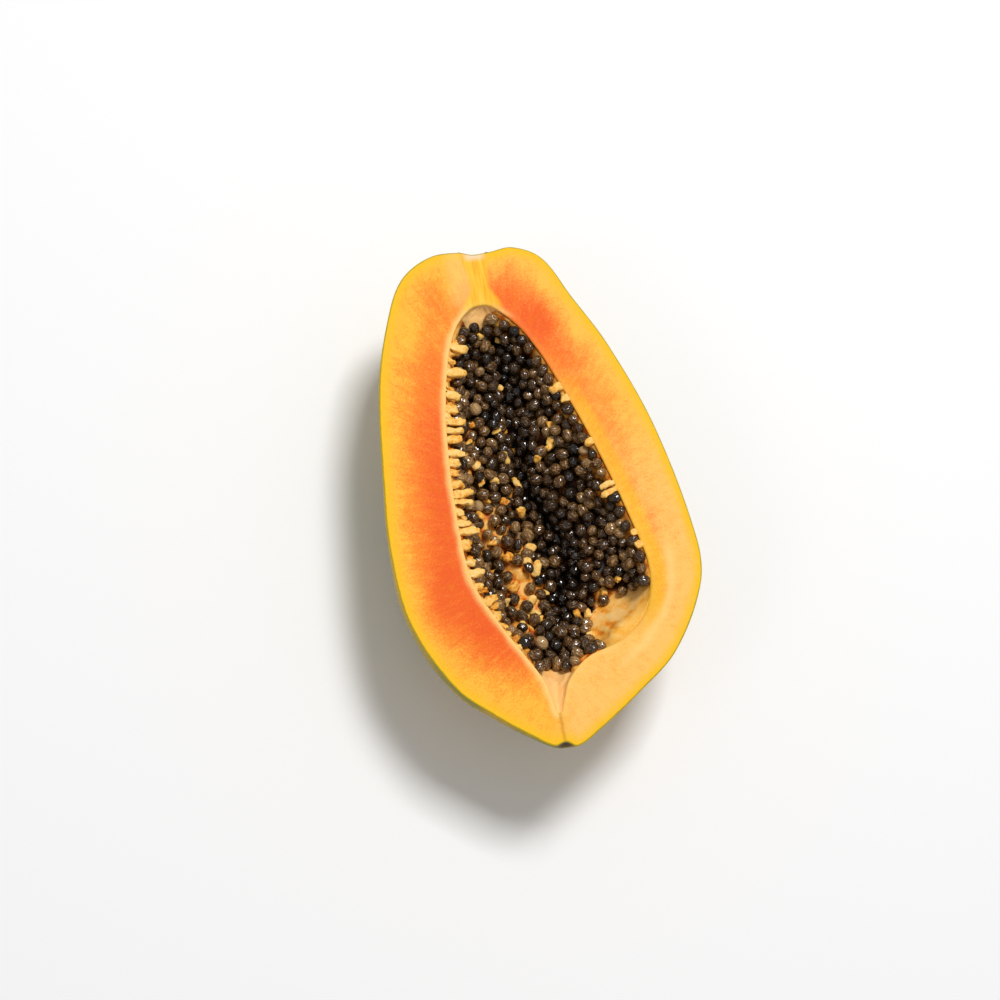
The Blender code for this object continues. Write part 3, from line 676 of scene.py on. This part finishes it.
# Where the seeds are heaped: x, y, half width, half length, rise
HEAPS = [(33, 6, 8, 22, 3.5), (40, -30, 9, 16, 4.0), (-6, 48, 9, 22, 2.5), (24, 40, 6, 22, 2.0)]
BED_SINK, BED_SINK_PALE = 4.6, 1.7
BED_RELIEF, BED_LUMP, BED_LEAST, BED_TOP = 1.1, 4.2, 1.4, -1.2
BED_SHEET, BED_TUCK_HEIGHT = 0.4, 2.0
# How strongly pulp shows along the left and the right rim, and how far in
PALE_LEFT_RIM, PALE_RIGHT_RIM = (0.6, 6.0), (0.55, 5.0)
PALE_UNEVEN, PALE_LUMP, PALE_FADE = 0.35, 7.0, (0.28, 0.58)
# Where pulp shows between the seeds: x, y, half width, half length, strength
PALE_PATCHES = [
    (-3, -40, 11, 26, 1.0), (-15, -12, 12, 18, 0.75), (-20, 26, 7, 22, 0.55), (-9, -63, 9, 14, 0.7),
    (-27, -25, 6, 50, 0.7), (23, 32, 6, 14, 0.35), (40, -53, 10, 9, 0.55), (2, 8, 8, 10, 0.5),
]


def bed_thickness(points):
    """How thick the seeds lie on these points of the wall. Below zero, the wall is bare."""
    depth = np.minimum(np.abs(points[..., 2]) / BED_FLOOR_DEPTH, 1.0)
    thickness = BED_AT_RIM + (BED_AT_FLOOR - BED_AT_RIM) * depth
    sunk = distance_to(points, TROUGH)
    thickness -= TROUGH_SINK * np.exp(-((sunk / TROUGH_HALF_WIDTH) ** 2)) * depth
    heaped = CLUMP_RISE * lumps(points, CLUMP_SIZE, 12) + sum(bell(points, *heap) for heap in HEAPS)
    thickness = np.maximum(thickness + heaped * smooth(depth * 3), BED_THINNEST)
    for patch in BARE_PATCHES:
        thickness = np.minimum(thickness, (oval(points, *patch) - 1) * BED_FADE)
    return np.maximum(thickness, -BED_FADE / 2)


def pulp_showing(points):
    """How much pulp shows between the seeds here, from 0 to 1."""
    return np.max([bell(points, *patch) for patch in PALE_PATCHES], axis=0)


bed_shares, bed_turns = np.meshgrid(
    np.linspace(*BED_SHARES, BED_ALONG), np.linspace(-BED_RIM_ANGLE, BED_RIM_ANGLE - math.pi, BED_AROUND),
    indexing="ij",
)
bed_wall = hollow.points(bed_shares, bed_turns)
seed_level = bed_thickness(bed_wall)
paleness = pulp_showing(bed_wall)
for rim, (strength, reach_in) in ((rim_left, PALE_LEFT_RIM), (rim_right, PALE_RIGHT_RIM)):
    paleness = np.maximum(paleness, strength * np.exp(-((distance_to(bed_wall, rim) / reach_in) ** 2)))
bed_pale = smooth(paleness + PALE_UNEVEN * lumps(bed_wall, PALE_LUMP, 8), *PALE_FADE)
bed_lumps = lumps(bed_wall, BED_LUMP, 9)
sink = BED_SINK + (BED_SINK_PALE - BED_SINK) * bed_pale
bed_rise = seed_level - sink + BED_RELIEF * bed_lumps
bed_rise = np.maximum(bed_rise, np.minimum(BED_LEAST, 1.5 * (seed_level - 1)))
bed_rise -= BED_TUCK * np.exp(-((bed_wall[..., 2] / BED_TUCK_HEIGHT) ** 2))
bed = hollow.inside(bed_shares, bed_turns, bed_rise)
bed[..., 2] = np.minimum(bed[..., 2], BED_TOP)
bed_mesh = bpy.data.meshes.new("seed_bed")
bed_mesh.from_pydata(placed(bed.reshape(-1, 3)), [], grid_faces(BED_ALONG, BED_AROUND, 0).tolist())
store(bed_mesh, "paleness", bed_pale.ravel())
store(bed_mesh, "relief", bed_lumps.ravel())
bed_mesh.shade_smooth()
seed_bed = new_object("seed_bed", bed_mesh)
sheet = seed_bed.modifiers.new("sheet", "SOLIDIFY")
sheet.thickness, sheet.offset = BED_SHEET * MM, 0.0

# Pulp and seeds under the top seeds: wet and stringy, cream or orange where pale, else near black with
# painted shade.
bed_material, tree, shader = new_material("wet_seed_bed")
place = add(tree, "TexCoord").outputs["Object"]
strands = add(
    tree, "TexNoise", {"Vector": place, "Scale": 1 / (3.5 * MM), "Detail": 4, "Roughness": 0.6}
)
raised = add(tree, "Attribute", attribute_name="relief").outputs["Fac"]
is_pale = add(tree, "Attribute", attribute_name="paleness").outputs["Fac"]
height = add(tree, "Math", {0: raised, 1: 0.3, 2: strands}, operation="MULTIPLY_ADD")
pulp_colour = add(
    tree, "ValToRGB", {0: height},
    stops=[(0.28, "9A3C0C"), (0.40, "DC701A"), (0.52, "F2A440"), (0.68, "FBC46A")],
)
# The near black: the deeper seeds' dark brown together with painted shade.
shade_colour = add(
    tree, "ValToRGB", {0: height}, stops=[(0.40, "0C0602"), (0.56, "2A1508"), (0.74, "7A3E12")]
)
half_pale = add(tree, "MapRange", {0: is_pale, 1: 0.0, 2: 0.45})
browned = add(tree, "Mix", {0: half_pale, 6: shade_colour, 7: "8E420E"}, data_type="RGBA")
full_pale = add(tree, "MapRange", {0: is_pale, 1: 0.35, 2: 1.0})
bed_colour = add(tree, "Mix", {0: full_pale, 6: browned, 7: pulp_colour}, data_type="RGBA")
strings = add(tree, "Bump", {"Height": strands, "Distance": 1.0 * MM, "Strength": 0.6})
damp = add(tree, "MapRange", {0: strands, 3: 0.3, 4: 0.5})
feed(tree, shader, {
    "Base Color": bed_colour, "Roughness": damp, "Normal": strings, "IOR": 1.36, "Specular IOR Level": 0.25,
})
bed_mesh.materials.append(bed_material)
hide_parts("seed_mass")
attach(seed_bed, "root")

# ---------------------------------------------------------------- pegs and bits of pulp
# Each seed grew on a soft peg of pulp. Along the rim, most of all on the left, the knife cut the pegs
# flush with the face, and torn bits of them show between the seeds.
PEG_RANDOM = 11
# Cut pegs by the rim: x, y, length from the rim inwards, width
RIM_PEGS = [
    (-15.6, 76.9, 9, 3.6), (-19.2, 64.6, 10, 4.2), (-23.1, 53.3, 8, 4.0), (-22.6, 45.5, 6, 3.6),
    (-27.4, 43.0, 4.5, 3.2), (-23.6, 39.2, 10, 3.2), (-24.6, 34.9, 9, 2.8), (-25.0, 30.8, 8, 3.6),
    (-25.4, 23.2, 8.5, 2.9), (-27.8, 18.6, 5.5, 3.6), (-29.0, 13.4, 4.0, 2.6), (-27.8, 8.0, 6, 3.6),
    (-26.3, 2.9, 10.5, 3.6), (-26.8, -1.5, 9, 2.5), (-29.8, -6.5, 4.0, 3.0), (-27.3, -12.0, 7, 3.0),
    (-24.9, -16.2, 9.5, 3.4), (-30.0, -23.0, 4.5, 5.2), (-28.4, -31.7, 5, 3.0), (-25.6, -37.0, 7.5, 3.8),
    (-26.0, -44.0, 4.0, 3.0), (-23.4, -51.6, 7, 3.8), (-21.4, -60.0, 4, 3.6), (-17.4, -69.0, 4, 3.0),
    (-13.6, -76.5, 3.5, 2.6), (-20.9, 71.0, 4.0, 2.4), (-25.0, 58.5, 4.0, 2.6),
    (26.3, 50.1, 6, 3.8), (31.9, 44.7, 4, 3.0), (37.6, 21.0, 4.0, 3.0), (40.7, -6.9, 9, 2.5),
    (41.5, -2.6, 7, 2.5), (50.9, -34.3, 3.5, 3.0), (49.5, -28.0, 3.0, 2.6),
]
# Bits of pulp among the seeds: x, y, length, width
PULP_BITS = [
    (4.6, 59.1, 4, 3), (4.1, 39.6, 6, 5), (-1.1, 37.4, 5, 3), (7.2, 29.5, 5, 3), (1.9, 24.4, 9, 3.5),
    (25.9, 36.2, 5, 4), (24.7, 29.2, 6, 4), (23.0, 25.0, 5, 3.5), (17.2, 21.7, 5, 4), (-14.8, 20.9, 5, 4),
    (7.0, 13.1, 8, 3.5), (-5.6, 13.5, 6, 3), (-12.7, 11.9, 5, 3), (-2.6, 85.3, 4, 3), (6.6, 82.3, 4, 3),
    (-11.6, 3.2, 5, 3), (-3.1, 1.4, 4, 4), (5.4, -3.5, 6, 5.5), (7.0, -21.1, 6, 5), (-6.1, -26.0, 6, 5.5),
    (2.7, -29.3, 6, 4.5), (7.7, -32.8, 10, 4.5), (-5.3, -41.0, 7, 5.5), (1.3, -49.0, 8, 5.5),
    (10.3, -43.8, 4, 3), (0.7, -54.8, 9, 3.5), (4.2, -58.3, 5, 3), (-5.7, -60.8, 5, 3), (44.8, -46.3, 5, 4),
    (37.8, -48.6, 5, 4), (23.6, -57.9, 7, 4), (29.8, -57.9, 6, 4), (37.6, -59.1, 6, 3.5), (26.5, -70.8, 5, 4),
    (-16.5, 33.0, 4, 3), (-13.5, 42.0, 4, 2.6), (-17.0, -4.0, 5, 3), (-13.0, -19.0, 5, 3.5),
    (-16.0, -33.0, 5, 3.5), (-11.5, -50.0, 5, 3), (44.0, -55.5, 6, 3), (33.0, -66.0, 5, 3.5),
]
# Shorter, deeper pegs behind them: first and last place along the rim, spacing, depth below the face
BACK_PEGS_FROM, BACK_PEGS_TO, BACK_PEG_SPACING, BACK_PEG_DEPTH = 80.0, -80.0, 6.5, 2.8
BACK_PEG_LENGTH, BACK_PEG_WIDTH = (4.0, 7.5), (2.4, 4.0)
BIT_LIFT = 0.7
PEG_TOP, PEG_ROOT, PEG_SINK, PEG_BREADTH = -0.25, 1.4, 0.24, 1.15
PEG_SQUARENESS = 0.64
PEG_WOBBLE, PEG_LUMP = 3.2, 2.6

peg_mesh = bpy.data.meshes.new("peg_pattern")
bm = bmesh.new()
bmesh.ops.create_uvsphere(bm, u_segments=16, v_segments=12, radius=1.0)
for vertex in bm.verts:
    vertex.co = [math.copysign(abs(c) ** PEG_SQUARENESS / 2, c) for c in vertex.co]
bm.to_mesh(peg_mesh)
bm.free()
peg_mesh.shade_smooth()
peg_pattern = new_object("peg_pattern", peg_mesh)


def scattered(name, places, turns, sizes, tints, pattern, material, wobble, wobble_size):
    """Copies a pattern onto places with Geometry Nodes, makes the copies uneven, and returns a plain mesh."""
    cloud = bpy.data.meshes.new(name)
    cloud.from_pydata(placed(places), [], [])
    for attribute, values in (("turned", turns), ("sized", np.asarray(sizes) * MM), ("tint", tints)):
        store(cloud, attribute, values)
    made = new_object(name, cloud)
    tree = bpy.data.node_groups.new(name, "GeometryNodeTree")
    for label, kind in (
        ("Geometry", "Geometry"), ("Pattern", "Object"), ("Wobble", "Float"), ("Wobble scale", "Float"),
        ("Material", "Material"),
    ):
        tree.interface.new_socket(label, in_out="INPUT", socket_type="NodeSocket" + kind)
    tree.interface.new_socket("Geometry", in_out="OUTPUT", socket_type="NodeSocketGeometry")
    given = add(tree, "NodeGroupInput").outputs
    turned, sized = (
        add(tree, "GeometryNodeInputNamedAttribute", {"Name": attribute}, data_type="FLOAT_VECTOR")
        for attribute in ("turned", "sized")
    )
    shape = add(tree, "GeometryNodeObjectInfo", {"Object": given["Pattern"]}).outputs["Geometry"]
    position = add(tree, "GeometryNodeInputPosition")
    kept = add(
        tree, "GeometryNodeStoreNamedAttribute", {"Geometry": shape, "Name": "own_place", "Value": position},
        data_type="FLOAT_VECTOR",
    )
    copies = add(
        tree, "GeometryNodeInstanceOnPoints",
        {"Points": given["Geometry"], "Instance": kept, "Rotation": turned, "Scale": sized},
    )
    real = add(tree, "GeometryNodeRealizeInstances", {"Geometry": copies})
    uneven = add(
        tree, "TexNoise", {"Vector": position, "Scale": given["Wobble scale"], "Detail": 1.0}
    ).outputs["Color"]
    centred = add(tree, "VectorMath", {0: uneven, 1: (0.5, 0.5, 0.5)}, operation="SUBTRACT")
    shift = add(tree, "VectorMath", {0: centred, "Scale": given["Wobble"]}, operation="SCALE")
    moved = add(tree, "GeometryNodeSetPosition", {"Geometry": real, "Offset": shift})
    finished = add(tree, "GeometryNodeSetMaterial", {"Geometry": moved, "Material": given["Material"]})
    add(tree, "NodeGroupOutput", {"Geometry": finished})
    modifier = made.modifiers.new("scatter", "NODES")
    modifier.node_group = tree
    wanted = {"Pattern": pattern, "Material": material}
    wanted |= {"Wobble": wobble * MM, "Wobble scale": 1 / (wobble_size * MM)}
    for item in tree.interface.items_tree:
        if item.in_out == "INPUT" and item.name in wanted:
            modifier[item.identifier] = wanted[item.name]
    evaluated = made.evaluated_get(bpy.context.evaluated_depsgraph_get())
    plain = bpy.data.meshes.new_from_object(evaluated)
    made.modifiers.remove(modifier)
    made.data = plain
    return made


draw = random.Random(PEG_RANDOM)
laid = []
for x, y, length, width in RIM_PEGS:
    rim = rim_right if x > 10 else rim_left
    nearest = rim[np.hypot(*(rim - (x, y)).T).argmin()]
    towards = Vector((x - nearest[0], y - nearest[1], -draw.uniform(0.3, 1.0))).normalized()
    centre = Vector((*nearest, PEG_TOP - width * PEG_SINK)) + towards * ((length - PEG_ROOT) / 2)
    laid.append((centre, towards, (width * PEG_BREADTH, width, length + PEG_ROOT), draw.uniform(0.3, 1.0)))
y = BACK_PEGS_FROM
while y > BACK_PEGS_TO:
    nearest = rim_left[np.abs(rim_left[:, 1] - y).argmin()]
    towards = Vector((1.0, draw.uniform(-0.25, 0.25), -draw.uniform(0.2, 0.7))).normalized()
    length, width = draw.uniform(*BACK_PEG_LENGTH), draw.uniform(*BACK_PEG_WIDTH)
    centre = Vector((*nearest, -BACK_PEG_DEPTH * draw.uniform(0.8, 1.6))) + towards * (length - PEG_ROOT) / 2
    laid.append((centre, towards, (width, width * 0.8, length + PEG_ROOT), draw.uniform(-0.4, 0.4)))
    y -= BACK_PEG_SPACING * draw.uniform(0.7, 1.3)
seed_tops = hollow.inside(bed_shares, bed_turns, seed_level + BIT_LIFT)
for x, y, length, width in PULP_BITS:
    row = np.hypot(seed_tops[..., 0] - x, seed_tops[..., 1] - y).argmin()
    centre = Vector(seed_tops.reshape(-1, 3)[row])
    heading = Vector((draw.uniform(-1, 1), draw.uniform(-1, 1), draw.uniform(-0.3, 0.5))).normalized()
    laid.append((centre, heading, (width * 0.8, width * 0.7, length * 0.9), draw.uniform(-0.2, 1.0)))
peg_places, peg_headings, peg_sizes, peg_tints = zip(*laid)
peg_turns = [heading.to_track_quat("Z", "Y").to_euler() for heading in peg_headings]

# Peg pulp: firm, moist and yellow cream, with a fine grain of cut fibres.
peg_material, tree, shader = new_material("yellow_papaya_pegs")
place = add(tree, "TexCoord").outputs["Object"]
tint = add(tree, "Attribute", attribute_name="tint").outputs["Fac"]
grain = add(
    tree, "TexNoise", {"Vector": place, "Scale": 1 / (1.6 * MM), "Detail": 3, "Roughness": 0.6}
)
toned = add(tree, "Math", {0: tint, 1: 0.25, 2: grain}, operation="MULTIPLY_ADD")
peg_colour = add(
    tree, "ValToRGB", {0: toned},
    stops=[(0.34, "B8661A"), (0.48, "EE9C32"), (0.62, "FAC058"), (0.82, "FCD284")],
)
dimples = add(tree, "Bump", {"Height": grain, "Distance": 0.6 * MM, "Strength": 0.5})
damp = add(tree, "MapRange", {0: grain, 3: 0.34, 4: 0.5})
feed(tree, shader, {
    "Base Color": peg_colour, "Roughness": damp, "Normal": dimples, "IOR": 1.36, "Specular IOR Level": 0.25,
    "Subsurface Weight": 0.1, "Subsurface Radius": (1.0, 0.5, 0.15), "Subsurface Scale": 2 * MM,
})

pegs = scattered(
    "pulp_pegs", peg_places, peg_turns, peg_sizes, peg_tints, peg_pattern, peg_material, PEG_WOBBLE, PEG_LUMP
)
for vertex in pegs.data.vertices:
    vertex.co.z = min(vertex.co.z, (CUT_HEIGHT + PEG_TOP) * MM)
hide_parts("fruit_half")
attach(pegs, "root")
bpy.data.objects.remove(peg_pattern)

# ---------------------------------------------------------------- seeds
# Dark brown papaya seeds, each in a thin wet jelly coat, heaped along the walls of the hollow and sunk
# in the trough down the middle. The top ones hide the rest.
SEED_RANDOM = 23
SEED_LENGTH, SEED_WIDTH, SEED_SPREAD = 6.5, 5.5, 0.16
SEED_SPACING, SEED_SPACING_PALE = 5.0, 2.0
RIM_PEG_BAND, RIM_PEG_DEPTH, SEEDS_AMONG_PEGS = 6.5, 6.5, 0.5
# Passes of seeds, from the top down: lowest and highest lift over the bed, how far round the hollow from
# the right rim, the lowest place below the cut face, and tries
SEED_PASSES = [
    (-1.0, 0.6, 0.3, -3.6, 40000), (0.0, 2.0, math.pi, -60.0, 50000), (-2.2, 0.0, math.pi, -60.0, 40000),
    (-5.5, -2.2, math.pi, -60.0, 40000),
]
SEED_LEAST, SEED_OVERLAP, SEED_TAPER = 2.6, 0.4, 0.25
SEEDS_OFF_PULP = 0.8
SEED_WOBBLE, SEED_LUMP = 0.5, 3.0
# How much darker the seeds by the trough are painted, as shade, and the half width of that band
SHADE_TONE, SHADE_HALF_WIDTH = 0.85, 8.5
# Seeds are looked up by cubes at least as wide as the widest spacing
CUBE = 7.0

draws = np.random.default_rng(SEED_RANDOM)
peg_centres = np.array([list(place) for place in peg_places])
peg_reach = np.array([size[0] / 2 for size in peg_sizes])
seed_places, cells = [], {}
for low, high, far_round, lowest, tries in SEED_PASSES:
    share, turn = draws.random(tries), draws.uniform(-far_round, 0.0, tries)
    on_wall = hollow.points(share, turn)
    thickness = bed_thickness(on_wall)
    lift = np.maximum(thickness + draws.uniform(low, high, tries), SEED_LEAST)
    centres = hollow.inside(share, turn, lift)
    showing = pulp_showing(centres)
    spacing = SEED_SPACING + SEED_SPACING_PALE * showing
    by_rim = (distance_to(centres, rim_left) < RIM_PEG_BAND) & (centres[:, 2] > -RIM_PEG_DEPTH)
    fits = (thickness > 1.0) & (centres[:, 2] < -SEED_WIDTH / 2 + 0.1) & (centres[:, 2] > lowest)
    fits &= ~by_rim | (draws.random(tries) < SEEDS_AMONG_PEGS)
    fits &= draws.random(tries) > SEEDS_OFF_PULP * showing * (high <= 0)
    for centre, gap in zip(centres[fits], spacing[fits]):
        cell = tuple(int(v) for v in np.floor(centre / CUBE))
        around = product(*((v - 1, v, v + 1) for v in cell))
        near = [other for key in around for other in cells.get(key, ())]
        if near and (((np.array(near) - centre) ** 2).sum(axis=1) < gap**2).any():
            continue
        if (np.linalg.norm(peg_centres - centre, axis=1) < peg_reach + SEED_WIDTH / 2 - SEED_OVERLAP).any():
            continue
        cells.setdefault(cell, []).append(centre)
        seed_places.append(centre)
seed_places = np.array(seed_places)
seed_count = len(seed_places)
seed_turns = draws.uniform(0, math.tau, (seed_count, 3))
grown = draws.uniform(1 - SEED_SPREAD, 1 + SEED_SPREAD, (seed_count, 1))
seed_sizes = grown * (SEED_WIDTH, SEED_WIDTH, SEED_LENGTH) * draws.uniform(0.95, 1.05, (seed_count, 3))
# Tints vary at random from seed to seed, and near the trough they are darkened with painted shade.
shaded = np.exp(-((distance_to(seed_places, TROUGH) / SHADE_HALF_WIDTH) ** 2))
seed_tones_and_shade = draws.random(seed_count) * (1 - SHADE_TONE * shaded)

seed_mesh = bpy.data.meshes.new("seed_pattern")
bm = bmesh.new()
bmesh.ops.create_icosphere(bm, subdivisions=2, radius=0.5)
for vertex in bm.verts:
    vertex.co.xy *= 1 - SEED_TAPER * vertex.co.z
bm.to_mesh(seed_mesh)
bm.free()
seed_mesh.shade_smooth()
seed_pattern = new_object("seed_pattern", seed_mesh)

# Papaya seed in its jelly coat: ridged lengthwise, nearly black brown, under a clear wet film.
seed_material, tree, shader = new_material("wet_papaya_seed")
tint = add(tree, "Attribute", attribute_name="tint").outputs["Fac"]
own_place = add(tree, "Attribute", attribute_name="own_place").outputs["Vector"]
# The colour follows the tint, so the seeds by the trough carry painted shade.
seed_brown = add(
    tree, "ValToRGB", {0: tint},
    stops=[(0.0, "120904"), (0.3, "3A220C"), (0.65, "5E3D1A"), (0.97, "8C683C"), (1.0, "C09C6C")],
)
ridge_place = add(tree, "Mapping", {"Vector": own_place, "Scale": (6.5, 6.5, 3.0)})
ridges = add(
    tree, "TexNoise", {"Vector": ridge_place, "Scale": 1.0, "Detail": 2.0, "Roughness": 0.6}
)
# Paler specks on the ridges, fainter on darker seeds: partly the ridges' own lighter tone, partly painted
# glints.
on_ridge = add(
    tree, "MapRange", {0: ridges, 1: 0.50, 2: 0.64, 4: 0.95}, **SOFT_ENDS
)
ridge_glint = add(tree, "Math", {0: on_ridge, 1: tint}, operation="MULTIPLY")
ridged = add(tree, "Mix", {0: ridge_glint, 6: seed_brown, 7: "D2A66C"}, data_type="RGBA")
wrinkles = add(tree, "Bump", {"Height": ridges, "Distance": 1.2 * MM, "Strength": 0.9})
film_place = add(tree, "Mapping", {"Vector": own_place, "Scale": (5.0, 5.0, 3.2)})
film_folds = add(tree, "TexNoise", {"Vector": film_place, "Scale": 1.0, "Detail": 0.0})
film = add(tree, "Bump", {"Height": film_folds, "Distance": 1.2 * MM, "Strength": 0.5})
damp = add(tree, "MapRange", {0: ridges, 3: 0.3, 4: 0.5})
feed(tree, shader, {
    "Base Color": ridged, "Roughness": damp, "Normal": wrinkles, "IOR": 1.36, "Specular IOR Level": 0.05,
    "Coat Weight": 1.0, "Coat Roughness": 0.03, "Coat IOR": 1.65, "Coat Normal": film,
})

seeds = scattered(
    "papaya_seeds", seed_places, seed_turns, seed_sizes, seed_tones_and_shade, seed_pattern, seed_material, SEED_WOBBLE,
    SEED_LUMP,
)
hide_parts("seed_mass")
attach(seeds, "root")
bpy.data.objects.remove(seed_pattern)
